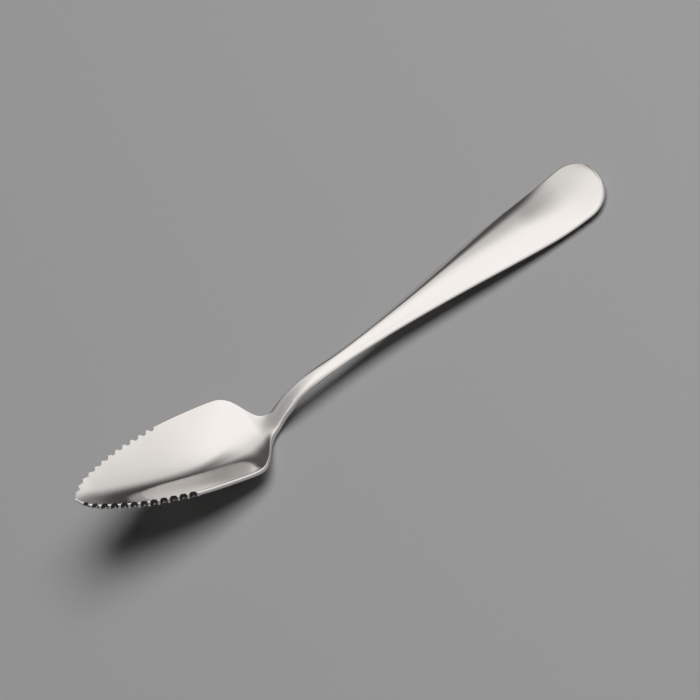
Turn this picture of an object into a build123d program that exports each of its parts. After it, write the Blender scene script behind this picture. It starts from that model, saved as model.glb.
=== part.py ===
"""Grapefruit spoon: a serrated bowl on a solid neck, with a hollow handle of two shells closed over its tang.

Units are millimetres. The blank is described by its developed length from the tip of the bowl to the end of the
handle. Its cross-sections stand square to the side profile and are lofted into one form, which is then parted into
the pieces. The spoon lies as on a table: on the keel of its bowl and the back of its handle, with +X from the tip
towards the handle.
"""
import math
import os

from build123d import *

# Bowl
bowl_length = 53.0
bowl_width = 30.1
bowl_depth = 6.0
deepest_share = 0.7
dish_end_share = 1.12
front_fullness = 0.35
keel_spread = 0.05
bowl_wall = 1.4
rim_thickness = 1.7
tip_thickness = 1.0
tip_run = 6.0
rim_bulge = 0.3
thickening_share = 0.8
nose_width = 1.4

# Teeth
gullet_count = 12
gullet_radius = 0.85
gullet_depth = 1.0
first_gullet = 2.85
serrated_length = 27.2
punch_height = 9.0

# Neck
shoulder_run = 9.0
neck_width = 4.5
neck_thickness = 3.2
neck_edge = 1.8
root_advance = 0.9
neck_run = 11.4
neck_rise = 8.6
root_bend_radius = 10.0
crest_bend_radius = 36.0

# Handle
handle_length = 103.8
handle_angle = 18.7
handle_arch = 1.5
arch_radius = 400.0
upturn_run = 28.5
upturn_angle = 7.0
upturn_radius = 80.0
handle_width = 20.0
flare_start = 20.5
flare_end = 6.0
full_section_share = 0.6
end_length = 8.0
end_squareness = 2.1
upper_height = 2.5
lower_height = 1.7
handle_edge = 1.6
crown_fade = 24.0
end_crown = 0.25

# Hollow handle and its tang
joint_position = 37.0
shell_wall = 0.9
seam_land = 1.6
cavity_edge = 0.4
tang_length = 20.0
tang_clearance = 0.1

# Spacing of the cross-sections
bowl_station_count = 22
handle_station_count = 12
end_station_angles = [20, 38, 54, 67, 77]
keel_samples = 60

# Sizes that follow from those above
neck_start = bowl_length + shoulder_run
spoon_length = bowl_length + handle_length
joint_station = bowl_length + joint_position
end_centre = spoon_length - end_length


def ease(start, finish, position):
    """A smooth step from 0 at start to 1 at finish."""
    share = min(max((position - start) / (finish - start), 0.0), 1.0)
    return share * share * (3.0 - 2.0 * share)


def mix(first, second, share):
    return first + (second - first) * share


def side_profile():
    """The line that the rim, the neck and the seam of the handle follow, seen from the side."""
    root = Vector(bowl_length - root_advance, 0)
    crest = root + Vector(neck_run, neck_rise)
    rise = handle_angle + handle_arch
    fall = handle_angle - handle_arch
    middle = crest + Vector(handle_length / 2, 0).rotate(Axis.Z, rise)
    upturn = middle + Vector(handle_length / 2 - upturn_run, 0).rotate(Axis.Z, fall)
    far_end = upturn + Vector(upturn_run, 0).rotate(Axis.Z, fall + upturn_angle)
    bends = [root_bend_radius, crest_bend_radius, arch_radius, upturn_radius]
    return Plane.XZ * FilletPolyline((0, 0), root, crest, middle, upturn, far_end, radius=bends)


def bowl_outline():
    """Half of the blank's outline, from the blunt nose round the shoulder to the neck."""
    half_bowl = bowl_width / 2
    half_neck = neck_width / 2
    flank = [(0.062, 0.342), (0.151, 0.52), (0.283, 0.72), (0.4, 0.833), (0.53, 0.935), (0.68, 0.985), (0.79, 1.0)]
    shoulder = [(0.856, 0.955), (0.896, 0.78), (0.927, 0.55), (0.956, 0.3), (0.995, 0.11), (1.07, 0.03)]
    points = [(0, nose_width / 2)]
    points += [(along * bowl_length, across * half_bowl) for along, across in flank]
    points += [(along * bowl_length, mix(half_neck, half_bowl, across)) for along, across in shoulder]
    return Spline(points + [(neck_start, half_neck)])


profile = side_profile()
outline = bowl_outline()


def handle_half_width(station):
    flare = ease(bowl_length + flare_start, spoon_length - flare_end, station)
    width = mix(neck_width, handle_width, flare) / 2
    if station > end_centre:
        share = (station - end_centre) / end_length
        width *= (1.0 - share ** end_squareness) ** (1.0 / end_squareness)
    return width


def dish(station):
    """Depth of the inside of the bowl below its rim."""
    share = min(station / bowl_length, dish_end_share)
    front = share < deepest_share
    level = share / deepest_share if front else (dish_end_share - share) / (dish_end_share - deepest_share)
    bell = (1.0 - math.cos(math.pi * level)) / 2.0
    bow = 1.0 - (1.0 - level) ** 2
    return bowl_depth * mix(bell, bow, front_fullness if front else 0.0)


def heights(station):
    """Half thickness at the edge, and the top and bottom of the middle, from the side profile."""
    to_neck = ease(thickening_share * bowl_length, neck_start, station)
    to_handle = ease(neck_start, bowl_length + full_section_share * handle_length, station)
    fade = ease(spoon_length - crown_fade, spoon_length, station)
    rim = mix(tip_thickness, rim_thickness, ease(0.0, tip_run, station))
    edge = mix(mix(rim, neck_edge, to_neck), handle_edge, to_handle) / 2
    thickness = mix(bowl_wall, neck_thickness, to_neck)
    crown = to_neck * (neck_thickness / 2 - edge)
    top = edge + crown - dish(station)
    bottom = top - thickness
    top = mix(mix(top, upper_height, to_handle), edge + end_crown, fade)
    bottom = mix(mix(bottom, -lower_height, to_handle), -edge - end_crown, fade)
    return edge, top, bottom


def station_plane(station):
    origin = profile.position_at(station, position_mode=PositionMode.LENGTH)
    along = profile.tangent_at(station, position_mode=PositionMode.LENGTH)
    return Plane(origin=origin, x_dir=(0, 1, 0), z_dir=along)


def section(station, half_width, edge, top, bottom):
    """A cross-section with rounded sides: a crown if top is above edge, a dish if it is below.

    A spread of a third makes its curves plain parabolas, and less than that makes the walls straighter.
    """
    to_neck = ease(thickening_share * bowl_length, neck_start, station)
    bulge = mix(rim_bulge, edge, to_neck)
    side = half_width - bulge
    bow = half_width + bulge
    spread = mix(keel_spread, 1 / 3, to_neck)
    reach = spread * side
    roof = (4 * top - edge) / 3
    floor = (4 * bottom + edge) / 3
    upper = Bezier((-side, edge), (-reach, roof), (reach, roof), (side, edge))
    right = Bezier((side, edge), (bow, 0), (side, -edge))
    lower = Bezier((side, -edge), (reach, floor), (-reach, floor), (-side, -edge))
    left = Bezier((-side, -edge), (-bow, 0), (-side, edge))
    return station_plane(station) * make_face([upper, right, lower, left])


def end_stations():
    """The cross-sections of the rounded end, closer together as it closes."""
    places = [end_centre + end_length * math.sin(math.radians(angle)) for angle in end_station_angles]
    return [(place, handle_half_width(place)) for place in places]


def blank_stations():
    """Each cross-section's place along the blank and its half width."""
    steps = [step / bowl_station_count for step in range(bowl_station_count + 1)]
    stations = [(point.X, point.Y) for point in (outline.position_at(step) for step in steps)]
    gap = (end_centre - neck_start) / handle_station_count
    places = [neck_start + gap * (step + 1) for step in range(handle_station_count)]
    return stations + [(place, handle_half_width(place)) for place in places] + end_stations()


def blank():
    return loft([section(place, half, *heights(place)) for place, half in blank_stations()])


def gullet_cutters():
    """Upright punches that leave the round gullets between the teeth of both front edges."""
    punch = Cylinder(gullet_radius, punch_height)
    pitch = serrated_length / (gullet_count - 1)
    stand_off = gullet_radius - gullet_depth
    cutters = []
    for index in range(gullet_count):
        reach = first_gullet + index * pitch
        point = outline.position_at(reach, position_mode=PositionMode.LENGTH)
        along = outline.tangent_at(reach, position_mode=PositionMode.LENGTH)
        centre = point + Vector(-along.Y, along.X) * stand_off
        cutters += [Pos(centre.X, centre.Y) * punch, Pos(centre.X, -centre.Y) * punch]
    return cutters


def cavity_section(station, half_width, clearance=0.0):
    """The hollow of the handle, or the tang that fills it less a clearance."""
    edge, top, bottom = heights(station)
    inner_top = top - shell_wall - clearance
    inner_bottom = bottom + shell_wall + clearance
    return section(station, half_width - clearance, cavity_edge / 2 - clearance, inner_top, inner_bottom)


def cavity():
    """The inside of the closed handle, from its open front to a seam's width short of its end."""
    gap = (end_centre - joint_station) / handle_station_count
    places = [joint_station + gap * step for step in range(handle_station_count + 1)]
    sections = [cavity_section(place, handle_half_width(place) - seam_land) for place in places]
    shrink = (end_length - seam_land) / end_length
    inner_share = 1.0 - seam_land / handle_half_width(end_centre)
    for place, half in end_stations():
        sections.append(cavity_section(mix(end_centre, place, shrink), half * inner_share))
    return loft(sections)


def tang():
    root = cavity_section(joint_station, handle_half_width(joint_station) - seam_land, tang_clearance)
    return extrude(root, amount=tang_length)


def serrated_bowl(form):
    front = split(form, bisect_by=station_plane(joint_station), keep=Keep.BOTTOM)
    return front - gullet_cutters() + tang()


def over_seam():
    """All that lies above the side profile, which is also the line of the handle's side seams."""
    start = profile @ 0
    finish = profile @ 1
    ceiling = finish.Z + bowl_width
    lid = Polyline(finish, (finish.X, 0, ceiling), (start.X, 0, ceiling), start)
    return extrude(make_face(profile.edges() + lid.edges()), amount=bowl_width, both=True)


def handle_shell(form, side):
    """The upper or the lower half of the hollow handle, parted at the plane of its side seams."""
    handle = split(form, bisect_by=station_plane(joint_station), keep=Keep.TOP) - cavity()
    above_seam = over_seam()
    return handle & above_seam if side == Keep.TOP else handle - above_seam


def underside(station):
    plane = station_plane(station)
    return plane.origin + plane.y_dir * heights(station)[2]


def lowest(points, tilt):
    """The point that lies lowest once the spoon is turned by tilt about Y."""
    return min(points, key=lambda point: point.Z * math.cos(tilt) - point.X * math.sin(tilt))


def resting_tilt():
    """The turn about Y that lays the keel of the bowl and the back of the handle on one level."""
    keel = [underside(bowl_length * step / keel_samples) for step in range(keel_samples + 1)]
    back = [underside(spoon_length - crown_fade * step / keel_samples) for step in range(keel_samples)]
    tilt = 0.0
    for _ in range(keel_samples):
        front_foot = lowest(keel, tilt)
        rear_foot = lowest(back, tilt)
        tilt = math.atan2(rear_foot.Z - front_foot.Z, rear_foot.X - front_foot.X)
    return math.degrees(tilt)


spoon = blank()
pieces = {
    "serrated_bowl": serrated_bowl(spoon),
    "handle_upper_shell": handle_shell(spoon, Keep.TOP),
    "handle_lower_shell": handle_shell(spoon, Keep.BOTTOM),
}
tilt = Rot(Y=resting_tilt())
box = (tilt * spoon).bounding_box()
ground = Pos(-box.center().X, -box.center().Y, -box.min.Z)

os.makedirs("parts", exist_ok=True)
for name, piece in pieces.items():
    export_step(ground * tilt * piece, f"parts/{name}.step")
    print(name, piece.is_valid, round(piece.volume, 1))
print("tilt", round(resting_tilt(), 2), "size", box.size)
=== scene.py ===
"""Looks of the grapefruit spoon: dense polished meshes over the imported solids, a soft studio and the camera.

Lengths are millimetres until the meshes are made, and metres from there on. A station is a place along the
developed blank, from the tip of the bowl to the end of the handle.
"""
import math

import bpy
import numpy as np
from mathutils import Matrix, Vector


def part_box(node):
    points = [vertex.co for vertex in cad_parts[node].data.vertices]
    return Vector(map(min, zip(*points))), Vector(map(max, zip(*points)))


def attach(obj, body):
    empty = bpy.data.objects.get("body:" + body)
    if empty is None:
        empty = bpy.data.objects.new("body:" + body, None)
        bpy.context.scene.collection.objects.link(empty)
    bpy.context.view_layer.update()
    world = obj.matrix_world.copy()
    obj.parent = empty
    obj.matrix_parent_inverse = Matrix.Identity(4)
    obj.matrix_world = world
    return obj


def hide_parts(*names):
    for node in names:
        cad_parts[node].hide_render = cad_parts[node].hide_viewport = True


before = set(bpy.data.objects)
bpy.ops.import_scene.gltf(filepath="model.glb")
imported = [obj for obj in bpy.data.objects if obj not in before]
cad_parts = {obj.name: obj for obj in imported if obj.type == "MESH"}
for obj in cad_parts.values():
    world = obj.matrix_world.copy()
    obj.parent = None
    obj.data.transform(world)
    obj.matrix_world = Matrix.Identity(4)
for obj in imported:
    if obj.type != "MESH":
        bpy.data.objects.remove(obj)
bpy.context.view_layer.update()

MM = 0.001

# Bowl
bowl_length = 53.0
bowl_width = 30.1
bowl_depth = 6.0
deepest_share = 0.7
dish_end_share = 1.12
dish_smoothing = 6.5
dish_smoothing_run = 15.0
dish_smoothing_steps = (-1.0, -0.5, 0.0, 0.5, 1.0)
front_fullness = 0.35
bowl_wall = 1.4
rim_thickness = 1.7
tip_thickness = 1.0
tip_run = 6.0
rim_bulge = 0.3
keel_spread = 0.05
thickening_share = 0.8
nose_width = 1.4
nose_round = 0.35

# Teeth
gullet_count = 12
gullet_radius = 0.85
gullet_reach = 0.97
gullet_depth = 1.2
first_gullet = 2.85
serrated_length = 27.2
teeth_fade_before = 0.5
teeth_fade_after = 1.5

# Neck
shoulder_run = 9.0
neck_width = 4.5
neck_thickness = 3.2
neck_edge = 1.8
neck_crown = 0.3
neck_spread = 1.0 / 3.0
sag_start = 47.0
sag_end = 55.0
round_start = 55.0
round_end = 85.0
root_advance = 0.9
neck_run = 11.4
neck_rise = 8.6
root_bend_radius = 10.0
crest_bend_radius = 36.0

# Handle
handle_length = 103.8
handle_angle = 18.7
handle_arch = 1.5
arch_radius = 400.0
upturn_run = 28.5
upturn_angle = 7.0
upturn_radius = 80.0
handle_width = 20.0
flare_start = 20.5
flare_end = 6.0
full_section_share = 0.6
end_length = 8.0
end_round = 0.9
end_squareness = 2.1
upper_height = 2.5
lower_height = 1.7
handle_edge = 1.6
crown_fade = 24.0
end_crown = 0.25

# Hollow of the handle
joint_position = 37.0
shell_wall = 0.9
seam_land = 1.6
hollow_taper = 0.4
hollow_fade = 6.0

# Edges: how round they are, how far they are ground and rubbed, and how far the gullet walls are painted dark
# as shade
edge_break = 0.1
tooth_corner = 0.35
rim_corner = 0.75
thin_edge = 0.06
blunt_edge = 0.7
# Depth of cut at which a gullet wall is fully ground (satin roughness) and fully darkened with painted shade
ground_and_shade_depth = 0.25
wear_reach = 1.2
sharp_angle = 32.0

# Fineness of the meshes
outline_samples = 6001
keel_samples = 400
level_rounds = 8
level_limit = 1.3
nose_columns = 6
nose_start = 0.06
tooth_step = 0.09
teeth_margin = 1.5
smooth_step = 0.3
neck_step = 0.45
handle_step = 0.6
tip_columns = 26
tip_sweep = 0.497
inner_rows = 34
rim_rows = 16
rim_margin = 1.0
rim_margin_share = 1.3
least_side = 1e-6
least_share = 0.02
least_nose = 1e-4

# Steel, whose scales are in marks to the metre
marks_along = 60.0
bowl_marks_across = 2200.0
handle_marks_across = 2600.0
steel_tones = [(0.80, 0.785, 0.765, 1.0), (0.84, 0.83, 0.815, 1.0)]
# Painted shade: a near-black colour for the gullet walls, standing in for the dark shadow they mirror, not the
# steel's own colour
gullet_painted_shade = (0.1, 0.095, 0.09, 1.0)
polish = (0.05, 0.11)
rubbed_roughness = 0.06
gullet_roughness = 0.4

# Studio, in metres and degrees
floor_reach = 12.0
floor_tone = (0.5, 0.5, 0.5, 1.0)
dome_tone = (1.0, 0.97, 0.95, 1.0)
dome_strength = (0.7, 1.1)
dome_rise = (0.35, 1.0)
fill_strength = 0.006
key_place = Vector((0.85, 0.05, 1.65))
key_size = 1.6
key_power = 29.0
card_tone = (0.05, 0.047, 0.045, 1.0)
bowl_centre = Vector((-0.045, 0.0, 0.01))

# Camera: the image's directions in the frame of the bowl's rim, and where the tip lies in the image
image_right = (0.90453, -0.41360, -0.10356)
image_up = (0.35271, 0.58839, 0.72762)
image_size = 700.0
pixels_per_mm = 4.022
tip_pixel = (76.8, 500.1)
focal_length = 300.0
view_limit = 100.0

# Sizes that follow from those above, and the tilt at which the spoon rests
neck_start = bowl_length + shoulder_run
spoon_length = bowl_length + handle_length
joint_station = bowl_length + joint_position
end_centre = spoon_length - end_length
resting_tilt = math.radians(22.59)


def ease(start, finish, position):
    """A smooth step from 0 at start to 1 at finish."""
    share = np.clip((position - start) / (finish - start), 0.0, 1.0)
    return share * share * (3.0 - 2.0 * share)


def mix(first, second, share):
    return first + (second - first) * share


def profile_segments():
    """Straights and bends of the side profile: place along it, start, heading and curvature."""
    def heading_of(run):
        return math.atan2(run[1], run[0])

    def unit(heading):
        return np.array([math.cos(heading), math.sin(heading)])

    root = np.array([bowl_length - root_advance, 0.0])
    crest = root + [neck_run, neck_rise]
    rise = math.radians(handle_angle + handle_arch)
    fall = math.radians(handle_angle - handle_arch)
    middle = crest + handle_length / 2 * unit(rise)
    upturn = middle + (handle_length / 2 - upturn_run) * unit(fall)
    far_end = upturn + upturn_run * unit(fall + math.radians(upturn_angle))
    corners = [np.zeros(2), root, crest, middle, upturn, far_end]
    radii = [root_bend_radius, crest_bend_radius, arch_radius, upturn_radius]
    segments = []
    place, point = 0.0, corners[0]
    for index, radius in enumerate(radii, start=1):
        heading = heading_of(corners[index] - corners[index - 1])
        turn = heading_of(corners[index + 1] - corners[index]) - heading
        setback = radius * math.tan(abs(turn) / 2)
        bend = corners[index] - setback * unit(heading)
        segments.append((place, point, heading, 0.0))
        place += np.linalg.norm(bend - point)
        segments.append((place, bend, heading, math.copysign(1.0 / radius, turn)))
        place += radius * abs(turn)
        point = corners[index] + setback * unit(heading + turn)
    segments.append((place, point, heading + turn, 0.0))
    return segments


segments = profile_segments()


def profile_at(stations):
    """X, Z and heading of the side profile at each station."""
    x, z, heading = np.zeros_like(stations), np.zeros_like(stations), np.zeros_like(stations)
    limits = [-math.inf] + [segment[0] for segment in segments[1:]] + [math.inf]
    for index, (place, point, start, curvature) in enumerate(segments):
        here = (stations >= limits[index]) & (stations < limits[index + 1])
        run = stations[here] - place
        turned = start + curvature * run
        if curvature:
            x[here] = point[0] + (np.sin(turned) - math.sin(start)) / curvature
            z[here] = point[1] + (math.cos(start) - np.cos(turned)) / curvature
        else:
            x[here] = point[0] + run * math.cos(start)
            z[here] = point[1] + run * math.sin(start)
        heading[here] = turned
    return x, z, heading


def reach_along(points):
    """How far along a line each of its points lies."""
    return np.concatenate([[0.0], np.cumsum(np.linalg.norm(np.diff(points, axis=0), axis=1))])


def smooth_line(points, count):
    """Samples of the smooth cubic line through points."""
    points = np.array(points, float)
    knots = reach_along(points)
    gaps = np.diff(knots)
    size = len(knots)
    matrix, right = np.zeros((size, size)), np.zeros((size, 2))
    for i in range(1, size - 1):
        matrix[i, i - 1:i + 2] = [gaps[i - 1], 2 * (gaps[i - 1] + gaps[i]), gaps[i]]
        right[i] = 6 * ((points[i + 1] - points[i]) / gaps[i] - (points[i] - points[i - 1]) / gaps[i - 1])
    matrix[0, :3] = [gaps[1], -(gaps[0] + gaps[1]), gaps[0]]
    matrix[-1, -3:] = [gaps[-1], -(gaps[-2] + gaps[-1]), gaps[-2]]
    bends = np.linalg.solve(matrix, right)
    along = np.linspace(0.0, knots[-1], count)
    i = np.clip(np.searchsorted(knots, along, side="right") - 1, 0, size - 2)
    run, gap = (along - knots[i])[:, None], gaps[i][:, None]
    slope = (points[i + 1] - points[i]) / gap - gap * (2 * bends[i] + bends[i + 1]) / 6
    change = (bends[i + 1] - bends[i]) / gap
    return points[i] + run * slope + run ** 2 * bends[i] / 2 + run ** 3 * change / 6


def bowl_outline():
    """Half of the blank's outline, from the blunt nose round the shoulder to the neck."""
    half_bowl, half_neck = bowl_width / 2, neck_width / 2
    flank = [
        (0.062, 0.342), (0.151, 0.52), (0.283, 0.72), (0.4, 0.833),
        (0.53, 0.935), (0.68, 0.985), (0.79, 1.0),
    ]
    shoulder = [
        (0.856, 0.955), (0.896, 0.78), (0.927, 0.55),
        (0.956, 0.3), (0.995, 0.11), (1.07, 0.03),
    ]
    points = [(0, nose_width / 2)]
    points += [(along * bowl_length, across * half_bowl) for along, across in flank]
    points += [(along * bowl_length, mix(half_neck, half_bowl, across)) for along, across in shoulder]
    return smooth_line(points + [(neck_start, half_neck)], outline_samples)


outline = bowl_outline()
outline_reach = reach_along(outline)
toothed_end = np.interp(first_gullet + serrated_length + gullet_radius, outline_reach, outline[:, 0])


def past_teeth(stations):
    """0 along the teeth, 1 behind them."""
    return ease(toothed_end - teeth_fade_before, toothed_end + teeth_fade_after, stations)


def toward_neck(stations):
    """0 in the bowl, 1 from the start of the neck."""
    return ease(thickening_share * bowl_length, neck_start, stations)


def half_width(stations):
    """Half width of the blank, with the nose before the first station and the rounded end."""
    bowl = np.interp(stations, outline[:, 0], outline[:, 1])
    nose = nose_width / 2 * np.sqrt(np.clip(1.0 - (np.minimum(stations, 0.0) / nose_round) ** 2, 0.0, 1.0))
    bowl = np.where(stations < 0, nose, bowl)
    flare = ease(bowl_length + flare_start, spoon_length - flare_end, stations)
    share = np.clip((stations - end_centre) / end_length, 0.0, 1.0)
    closing = (1.0 - share ** end_squareness) ** (1.0 / end_squareness)
    handle = mix(neck_width, handle_width, flare) / 2 * closing
    return np.where(stations < neck_start, bowl, handle)


def dish_depth(stations):
    """Depth of the inside of the bowl below its rim."""
    share = np.clip(stations / bowl_length, 0.0, dish_end_share)
    front = share / deepest_share
    rear = (dish_end_share - share) / (dish_end_share - deepest_share)
    level = np.minimum(front, rear)
    bell = (1.0 - np.cos(math.pi * level)) / 2.0
    bow = 1.0 - (1.0 - level) ** 2
    return bowl_depth * mix(bell, bow, np.where(front < rear, front_fullness, 0.0))


def dish(stations):
    """Depth of the inside of the bowl, with its bends eased."""
    spread = dish_smoothing * ease(0.0, dish_smoothing_run, stations)
    depths = [dish_depth(stations + spread * step) for step in dish_smoothing_steps]
    return sum(depths) / len(depths)


def edge_sag(stations):
    """How far the edges dip at the root of the neck, where they run into the dish."""
    return dish(stations) * ease(sag_start, sag_end, stations)


def heights(stations):
    """Half thickness at the edge, and the top and bottom of the middle, from the side profile."""
    to_neck = toward_neck(stations)
    to_handle = ease(neck_start, bowl_length + full_section_share * handle_length, stations)
    fade = ease(spoon_length - crown_fade, spoon_length, stations)
    rim = mix(tip_thickness, rim_thickness, ease(0.0, tip_run, stations))
    edge = mix(mix(rim, neck_edge, to_neck), handle_edge, to_handle) / 2
    thickness = mix(bowl_wall, neck_thickness, to_neck)
    crown = to_neck * (neck_thickness / 2 - edge)
    depth = dish(stations)
    bottom = edge + crown - depth - thickness
    top = edge + crown * neck_crown - depth
    top = mix(mix(top, upper_height, to_handle), edge + end_crown, fade)
    bottom = mix(mix(bottom, -lower_height, to_handle), -edge - end_crown, fade)
    return edge, top, bottom


def wall_level(stations, share):
    """Square root of the rise from the middle to the edge, at a share of the way across."""
    spread = mix(keel_spread, neck_spread, toward_neck(stations))
    lead, bow = 3.0 + 3.0 * spread, 1.0 - 3.0 * spread
    level = share
    for _ in range(level_rounds):
        reach = level * (lead + bow * level ** 2) / 4.0
        slope = (lead + 3.0 * bow * level ** 2) / 4.0
        level = np.clip(level - (reach - share) / slope, 0.0, level_limit)
    return level


def skin_height(stations, across, below):
    """Height of the upper or the lower skin over the side profile, with its rounded edges."""
    edge, top, bottom = heights(stations)
    bulge = mix(rim_bulge, edge, ease(round_start, round_end, stations))
    side = np.maximum(half_width(stations) - bulge, least_side)
    sign, middle = (-1.0, bottom) if below else (1.0, top)
    sag = edge_sag(stations)
    lip = sign * edge - sag
    offset = np.abs(across)
    dished = middle + (lip - middle) * wall_level(stations, offset / side) ** 2
    least = mix(blunt_edge, thin_edge, past_teeth(stations))
    face = sign * edge * np.sqrt(np.maximum(1.0 - (offset - side) / bulge, least)) - sag
    corner = mix(tooth_corner, rim_corner, past_teeth(stations))
    blend = np.clip(0.5 + 0.5 * sign * (face - dished) / corner, 0.0, 1.0)
    rounded = mix(face, dished, blend) - sign * corner * blend * (1.0 - blend)
    crowned = np.where(offset < side, dished, face)
    return mix(rounded, crowned, toward_neck(stations))


rest_turn = np.array(Matrix.Rotation(resting_tilt, 3, "Y"))


def stand(stations, across, above):
    """Points of the developed blank, bent along the side profile and laid down as the spoon rests."""
    x, z, heading = profile_at(stations)
    points = np.stack([x - above * np.sin(heading), across, z + above * np.cos(heading)], -1)
    return points @ rest_turn.T


def resting_shift():
    """What carries the spoon from the tip of its rim to the frame of the solids."""
    stations = np.linspace(0.0, bowl_length, keel_samples)
    keel = stand(stations, np.zeros(keel_samples), heights(stations)[2])
    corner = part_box("serrated_bowl")[0]
    return np.array([corner.x / MM - keel[0, 0], 0.0, corner.z / MM - keel[:, 2].min()])


shift = resting_shift()


def plain_edge(stations):
    """Edge points where nothing is cut."""
    return np.stack([stations, half_width(stations)], -1)


def bowl_columns():
    """Stations of the bowl's columns, their edge points with the gullets cut, and the depth of each cut."""
    pitch = serrated_length / (gullet_count - 1)
    centres = first_gullet + pitch * np.arange(gullet_count)
    toothed_reach = centres[-1] + teeth_margin * gullet_radius
    nose = -nose_round * np.cos(np.linspace(nose_start, 0.5, nose_columns, endpoint=False) * math.pi)
    reach = np.concatenate([
        np.arange(0.0, toothed_reach, tooth_step),
        np.arange(toothed_reach, outline_reach[-1], smooth_step),
    ])
    x = np.interp(reach, outline_reach, outline[:, 0])
    y = np.interp(reach, outline_reach, outline[:, 1])
    tangent = np.gradient(np.stack([x, y], -1), reach, axis=0)
    tangent /= np.linalg.norm(tangent, axis=1, keepdims=True)
    offset = np.abs(reach[:, None] - centres).min(axis=1)
    cut = gullet_depth * np.clip(1.0 - (offset / gullet_reach) ** 2, 0.0, None)
    edge = np.stack([x + tangent[:, 1] * cut, y - tangent[:, 0] * cut], -1)
    tail = np.append(np.arange(neck_start + neck_step, joint_station, neck_step), joint_station)
    stations = np.concatenate([nose, x, tail])
    edges = np.concatenate([plain_edge(nose), edge, plain_edge(tail)])
    cuts = np.concatenate([np.zeros(len(nose)), cut, np.zeros(len(tail))])
    return stations, edges, cuts


def mirrored(half, sign=1.0):
    """Rows from edge to edge, made from rows that run from the middle to one edge."""
    return np.concatenate([sign * half[:, :0:-1], half], 1)


def rim_steps():
    return np.linspace(0.0, 1.0, rim_rows + 1)[1:]


def skin_grid(stations, edges, cuts, below):
    """One skin of the bowl as rows from edge to edge: stations, places across, heights and wear."""
    width = half_width(stations)
    margin = np.maximum(rim_margin, rim_margin_share * heights(stations)[0])
    inner = width ** 2 / (width + margin)
    share = np.linspace(0.0, 1.0, inner_rows)
    lip = 1.0 - (1.0 - rim_steps()) ** 2
    s = np.concatenate([
        np.repeat(stations[:, None], inner_rows, 1),
        mix(stations[:, None], edges[:, :1], lip),
    ], 1)
    y = np.concatenate([
        inner[:, None] * share,
        mix(inner[:, None], edges[:, 1:], lip),
    ], 1)
    upper = skin_height(s, y, False)
    lower = skin_height(s, y, True)
    middle, half = (upper + lower) / 2, (upper - lower) / 2
    gap = np.hypot(s - edges[:, :1], y - edges[:, 1:])
    near = np.clip(1.0 - gap / edge_break, 0.0, 1.0)
    broken = edge_break * (1.0 - np.sqrt(1.0 - near ** 2)) * np.minimum(cuts / edge_break, 1.0)[:, None]
    half = np.maximum(half - broken, 0.5 * half)
    height = middle - half if below else middle + half
    wear = np.clip(1.0 - gap / wear_reach, 0.0, 1.0)
    return mirrored(s), mirrored(y, -1.0), mirrored(height), mirrored(wear)


class Skin:
    """Collects the points and faces of a mesh, how rubbed each point is, and how far each face is ground and
    darkened with painted shade.
    """

    def __init__(self):
        self.points, self.faces, self.wear, self.ground_and_shade = [], [], [], []
        self.count = 0

    def grid(self, points, wear):
        """Adds a grid of points and returns their numbers."""
        numbers = np.arange(points[..., 0].size).reshape(points.shape[:2]) + self.count
        self.points.append((points.reshape(-1, 3) + shift) * MM)
        self.wear.append(np.broadcast_to(wear, points.shape[:2]).reshape(-1))
        self.count += numbers.size
        return numbers

    def sheet(self, numbers, flip=False):
        """Faces between the neighbours of a grid."""
        corners = [numbers[:-1, :-1], numbers[1:, :-1], numbers[1:, 1:], numbers[:-1, 1:]]
        quads = np.stack(corners, -1).reshape(-1, 4)
        self.faces += (quads[:, ::-1] if flip else quads).tolist()
        self.ground_and_shade += [0.0] * len(quads)

    def band(self, first, second, ground_and_shade=None):
        """Faces between two lines of points, with how far each is ground and darkened with painted shade."""
        self.sheet(np.stack([first, second]), flip=True)
        if ground_and_shade is not None:
            self.ground_and_shade[1 - len(first):] = ground_and_shade.tolist()

    def make(self, name, material):
        """The finished object, smooth but for its sharp edges."""
        mesh = bpy.data.meshes.new(name)
        mesh.from_pydata(np.concatenate(self.points).tolist(), [], self.faces)
        # Per-face mask: satin roughness where ground, and painted shade darkening the gullet walls
        ground_and_shade = mesh.attributes.new("ground_and_shade", "FLOAT", "FACE")
        ground_and_shade.data.foreach_set("value", np.array(self.ground_and_shade, np.float32))
        mesh.validate()
        wear = mesh.attributes.new("wear", "FLOAT", "POINT")
        wear.data.foreach_set("value", np.concatenate(self.wear).astype(np.float32))
        mesh.shade_smooth()
        mesh.set_sharp_from_angle(angle=math.radians(sharp_angle))
        mesh.materials.append(material)
        piece = bpy.data.objects.new(name, mesh)
        bpy.context.scene.collection.objects.link(piece)
        return piece


def add_node(tree, kind, sockets=None, **settings):
    """A new shader node with its settings and the values of its own sockets."""
    node = tree.nodes.new("ShaderNode" + kind)
    for name, value in settings.items():
        setattr(node, name, value)
    for socket, value in (sockets or {}).items():
        node.inputs[socket].default_value = value
    return node


def new_material(name):
    material = bpy.data.materials.new(name)
    material.use_nodes = True
    return material, material.node_tree, material.node_tree.nodes["Principled BSDF"]


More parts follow.
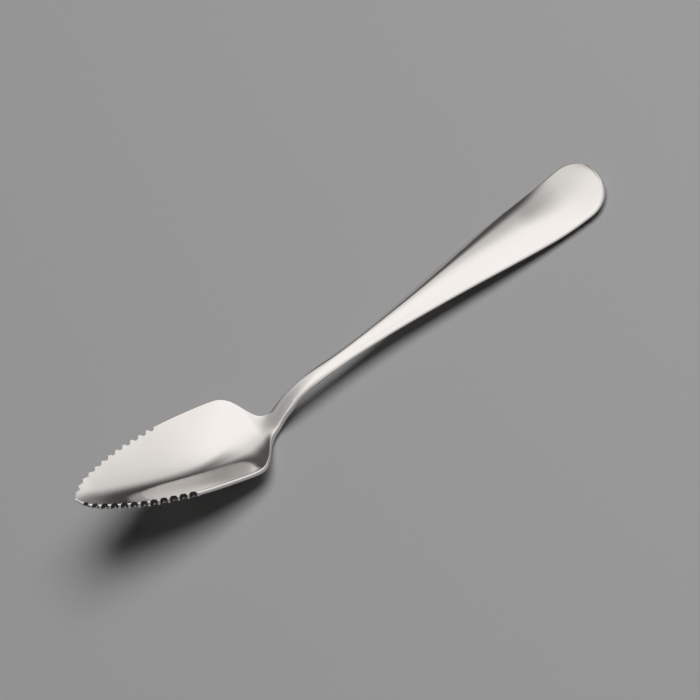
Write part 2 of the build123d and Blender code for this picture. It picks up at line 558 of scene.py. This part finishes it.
def polished_steel(name, marks_across):
    """Mirror-polished steel: fine lengthwise polishing marks, rubbed edges, satin ground gullets, and painted
    shade that darkens the gullet walls.
    """
    material, tree, shader = new_material(name)
    link = tree.links.new
    shader.inputs["Metallic"].default_value = 1.0
    coordinates = add_node(tree, "TexCoord")
    stretch = add_node(tree, "Mapping", {"Scale": (marks_along, marks_across, marks_across)})
    marks = add_node(tree, "TexNoise", {"Scale": 1.0, "Detail": 3.0})
    wear = add_node(tree, "Attribute", attribute_name="wear")
    ground_and_shade = add_node(tree, "Attribute", attribute_name="ground_and_shade")
    gloss = add_node(tree, "MapRange", {"From Min": 0.3, "From Max": 0.75})
    gloss.inputs["To Min"].default_value, gloss.inputs["To Max"].default_value = polish
    rubbed = add_node(tree, "Math", {1: rubbed_roughness}, operation="MULTIPLY_ADD")
    satin = add_node(tree, "Math", {1: gullet_roughness}, operation="MULTIPLY_ADD")
    tone = add_node(tree, "Mix", data_type="RGBA")
    tone.inputs["A"].default_value, tone.inputs["B"].default_value = steel_tones
    # Painted shade: the gullet walls' colour is mixed towards near black by the same mask that makes them
    # satin
    gullet_shade = add_node(tree, "Mix", {"B": gullet_painted_shade}, data_type="RGBA")
    bump = add_node(tree, "Bump", {"Strength": 0.04, "Distance": 0.0002})
    link(coordinates.outputs["Object"], stretch.inputs["Vector"])
    link(stretch.outputs["Vector"], marks.inputs["Vector"])
    link(marks.outputs["Fac"], gloss.inputs["Value"])
    link(wear.outputs["Fac"], rubbed.inputs[0])
    link(gloss.outputs["Result"], rubbed.inputs[2])
    link(ground_and_shade.outputs["Fac"], satin.inputs[0])
    link(rubbed.outputs["Value"], satin.inputs[2])
    link(satin.outputs["Value"], shader.inputs["Roughness"])
    link(marks.outputs["Fac"], tone.inputs["Factor"])
    link(ground_and_shade.outputs["Fac"], gullet_shade.inputs["Factor"])
    link(tone.outputs["Result"], gullet_shade.inputs["A"])
    link(gullet_shade.outputs["Result"], shader.inputs["Base Color"])
    link(marks.outputs["Fac"], bump.inputs["Height"])
    link(bump.outputs["Normal"], shader.inputs["Normal"])
    return material


bowl_steel = polished_steel("bowl_steel", bowl_marks_across)
handle_steel = polished_steel("handle_steel", handle_marks_across)


def make_bowl():
    """The serrated bowl with its neck, as far as the handle's joint."""
    skin = Skin()
    stations, edges, cuts = bowl_columns()
    upper = skin_grid(stations, edges, cuts, False)
    lower = skin_grid(stations, edges, cuts, True)
    top = skin.grid(stand(*upper[:3]), upper[3])
    bottom = skin.grid(stand(*lower[:3]), lower[3])
    skin.sheet(top)
    skin.sheet(bottom, flip=True)
    # How far each edge face is ground (satin roughness) and darkened with painted shade, by the depth of its
    # cut
    ground_and_shade = np.clip((cuts[:-1] + cuts[1:]) / 2 / ground_and_shade_depth, 0.0, 1.0)
    skin.band(bottom[:, 0], top[:, 0], ground_and_shade)
    skin.band(top[:, -1], bottom[:, -1], ground_and_shade)
    skin.band(top[0], bottom[0])
    skin.band(bottom[-1], top[-1])
    return skin.make("serrated_bowl_skin", bowl_steel)


def shell_columns():
    """Stations of the shells' columns, closer together as the end closes."""
    count = round((end_centre - joint_station) / handle_step)
    straight = np.linspace(joint_station, end_centre, count, endpoint=False)
    closing = end_centre + end_length * np.sin(np.linspace(0.0, tip_sweep, tip_columns) * math.pi)
    return np.concatenate([straight, closing])


def shell_outside(stations, below):
    """The outer skin of a shell as rows from edge to edge: places across, heights and wear."""
    width = half_width(stations)[:, None]
    edge, top, bottom = (height[:, None] for height in heights(stations))
    middle, lip = (bottom, -edge) if below else (top, edge)
    side = np.maximum(width - edge, least_share * width)
    crown = np.linspace(0.0, 1.0, inner_rows)
    rim = rim_steps()
    y = np.concatenate([side * crown, side + (width - side) * (1.0 - (1.0 - rim) ** 2)], 1)
    h = np.concatenate([middle + (lip - middle) * crown ** 2, lip * (1.0 - rim)], 1)
    into_nose = np.clip((stations - spoon_length + end_round) / end_round, 0.0, 1.0)
    h *= np.sqrt(np.maximum(1.0 - into_nose ** 2, least_nose))[:, None]
    wear = np.clip(1.0 - (width - y) / wear_reach, 0.0, 1.0)
    return mirrored(y, -1.0), mirrored(h), mirrored(wear)


def shell_inside(stations, across, below):
    """The wall of the hollow, with a point for each point of the outer skin: places across and heights."""
    width = half_width(stations)
    _, top, bottom = heights(stations)
    hollow_end = spoon_length - seam_land
    shrink = np.clip((stations - end_centre) / end_length, 0.0, 1.0)
    hollow = np.maximum(width - seam_land - hollow_taper * shrink, least_share * width)
    open_share = ease(hollow_end, hollow_end - hollow_fade, stations)
    middle = (bottom + shell_wall if below else top - shell_wall) * open_share
    lie = across / width[:, None]
    return lie * hollow[:, None], middle[:, None] * (1.0 - lie ** 2)


def make_shell(name, below):
    """One half of the hollow handle: outer skin, seam land and the wall of the hollow."""
    skin = Skin()
    stations = shell_columns()
    y, h, wear = shell_outside(stations, below)
    s = np.repeat(stations[:, None], y.shape[1], 1)
    outer = skin.grid(stand(s, y, h), wear)
    inner = skin.grid(stand(s, *shell_inside(stations, y, below)), 0.0)
    skin.sheet(outer, flip=below)
    skin.sheet(inner, flip=not below)
    sides = [
        (inner[:, 0], outer[:, 0]),
        (outer[:, -1], inner[:, -1]),
        (outer[0], inner[0]),
        (inner[-1], outer[-1]),
    ]
    for first, second in sides:
        if below:
            first, second = second, first
        skin.band(first, second)
    return skin.make(name, handle_steel)


bowl = make_bowl()
upper_shell = make_shell("handle_upper_skin", False)
lower_shell = make_shell("handle_lower_skin", True)
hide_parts("serrated_bowl")
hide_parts("handle_upper_shell")
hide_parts("handle_lower_shell")
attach(bowl, "root")
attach(upper_shell, "root")
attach(lower_shell, "root")


def stage_sheet(name, half, material):
    """A flat rectangle of the studio, from its half sizes."""
    wide, high = half
    mesh = bpy.data.meshes.new(name)
    corners = [(-wide, -high, 0), (wide, -high, 0), (wide, high, 0), (-wide, high, 0)]
    mesh.from_pydata(corners, [], [(0, 1, 2, 3)])
    mesh.materials.append(material)
    sheet = bpy.data.objects.new(name, mesh)
    bpy.context.scene.collection.objects.link(sheet)
    return sheet


def make_floor():
    """A plain floor without gloss."""
    material, _, shader = new_material("floor_paper")
    shader.inputs["Base Color"].default_value = floor_tone
    shader.inputs["Roughness"].default_value = 1.0
    shader.inputs["Specular IOR Level"].default_value = 0.0
    stage_sheet("floor", (floor_reach, floor_reach), material)


def make_world():
    """A pale dome that the camera and the steel see, and a weak fill for the floor's shadow."""
    world = bpy.data.worlds.new("studio")
    bpy.context.scene.world = world
    world.use_nodes = True
    tree = world.node_tree
    link = tree.links.new
    dome = tree.nodes["Background"]
    dome.inputs["Color"].default_value = dome_tone
    coordinates = add_node(tree, "TexCoord")
    parts = add_node(tree, "SeparateXYZ")
    rise = add_node(tree, "MapRange", interpolation_type="SMOOTHSTEP")
    rise.inputs["From Min"].default_value, rise.inputs["From Max"].default_value = dome_rise
    rise.inputs["To Min"].default_value, rise.inputs["To Max"].default_value = dome_strength
    fill = add_node(tree, "Background", {"Color": (1.0, 1.0, 1.0, 1.0), "Strength": fill_strength})
    path = add_node(tree, "LightPath")
    seen = add_node(tree, "Math", operation="MAXIMUM")
    also = add_node(tree, "Math", operation="MAXIMUM")
    first_hand = add_node(tree, "Math", {1: 0.5}, operation="LESS_THAN")
    chosen = add_node(tree, "Math", operation="MULTIPLY")
    blend = add_node(tree, "MixShader")
    link(coordinates.outputs["Generated"], parts.inputs["Vector"])
    link(parts.outputs["Z"], rise.inputs["Value"])
    link(rise.outputs["Result"], dome.inputs["Strength"])
    link(path.outputs["Is Camera Ray"], seen.inputs[0])
    link(path.outputs["Is Glossy Ray"], seen.inputs[1])
    link(seen.outputs["Value"], also.inputs[0])
    link(path.outputs["Is Transmission Ray"], also.inputs[1])
    link(path.outputs["Diffuse Depth"], first_hand.inputs[0])
    link(also.outputs["Value"], chosen.inputs[0])
    link(first_hand.outputs["Value"], chosen.inputs[1])
    link(chosen.outputs["Value"], blend.inputs["Fac"])
    link(fill.outputs["Background"], blend.inputs[1])
    link(dome.outputs["Background"], blend.inputs[2])
    link(blend.outputs["Shader"], tree.nodes["World Output"].inputs["Surface"])


def make_key():
    """One large soft lamp that the steel doesn't mirror."""
    lamp = bpy.data.lights.new("key", "AREA")
    lamp.shape = "RECTANGLE"
    lamp.size = key_size
    lamp.size_y = key_size
    lamp.energy = key_power
    key = bpy.data.objects.new("key", lamp)
    key.location = key_place
    key.rotation_mode = "QUATERNION"
    key.rotation_quaternion = (-key_place).to_track_quat("-Z", "Y")
    key.visible_glossy = False
    bpy.context.scene.collection.objects.link(key)


def direction(azimuth, elevation):
    """A unit vector, in degrees from +X towards +Y and up."""
    level, rise = math.radians(azimuth), math.radians(elevation)
    return Vector((math.cos(level) * math.cos(rise), math.sin(level) * math.cos(rise), math.sin(rise)))


def make_card(name, azimuth, elevation, distance, half, dark_core, darkness):
    """A soft-edged dark card that faces the bowl and that only the polished faces see."""
    material, tree, shader = new_material(name)
    tree.nodes.remove(shader)
    link = tree.links.new
    coordinates = add_node(tree, "TexCoord")
    scale = add_node(tree, "Mapping", {"Scale": (1.0 / half[0], 1.0 / half[1], 1.0)})
    length = add_node(tree, "VectorMath", operation="LENGTH")
    fade = add_node(tree, "MapRange", interpolation_type="SMOOTHSTEP")
    fade.inputs["From Min"].default_value, fade.inputs["From Max"].default_value = dark_core, 1.0
    fade.inputs["To Min"].default_value, fade.inputs["To Max"].default_value = darkness, 0.0
    clear = add_node(tree, "BsdfTransparent")
    dark = add_node(tree, "Emission", {"Color": card_tone})
    blend = add_node(tree, "MixShader")
    link(coordinates.outputs["Object"], scale.inputs["Vector"])
    link(scale.outputs["Vector"], length.inputs[0])
    link(length.outputs["Value"], fade.inputs["Value"])
    link(fade.outputs["Result"], blend.inputs["Fac"])
    link(clear.outputs["BSDF"], blend.inputs[1])
    link(dark.outputs["Emission"], blend.inputs[2])
    link(blend.outputs["Shader"], tree.nodes["Material Output"].inputs["Surface"])
    card = stage_sheet(name, half, material)
    away = direction(azimuth, elevation)
    card.location = bowl_centre + away * distance
    card.rotation_mode = "QUATERNION"
    card.rotation_quaternion = (-away).to_track_quat("Z", "Y")
    card.visible_camera = False
    card.visible_diffuse = False
    card.visible_shadow = False


def make_camera():
    """A long lens at the photograph's viewing angle."""
    right = Vector(rest_turn @ image_right)
    up = Vector(rest_turn @ image_up)
    back = right.cross(up).normalized()
    centre = Vector(shift) + right * ((image_size / 2 - tip_pixel[0]) / pixels_per_mm)
    centre += up * ((tip_pixel[1] - image_size / 2) / pixels_per_mm)
    lens = bpy.data.cameras.new("camera")
    lens.lens = focal_length
    lens.clip_end = view_limit
    distance = image_size / pixels_per_mm * focal_length / lens.sensor_width
    camera = bpy.data.objects.new("camera", lens)
    camera.matrix_world = Matrix((right, up, back)).transposed().to_4x4()
    camera.location = (centre + back * distance) * MM
    bpy.context.scene.collection.objects.link(camera)
    bpy.context.scene.camera = camera


make_floor()
make_world()
make_key()
make_card("back_card", 65.0, 0.0, 1.2, (0.52, 1.95), dark_core=0.0, darkness=0.92)
make_card("low_card", 98.0, 0.0, 1.2, (1.45, 0.62), dark_core=0.35, darkness=0.94)
make_card("left_card", 135.0, 38.0, 0.5, (0.36, 0.42), dark_core=0.2, darkness=0.5)
make_camera()
bpy.context.scene.view_settings.view_transform = "Standard"
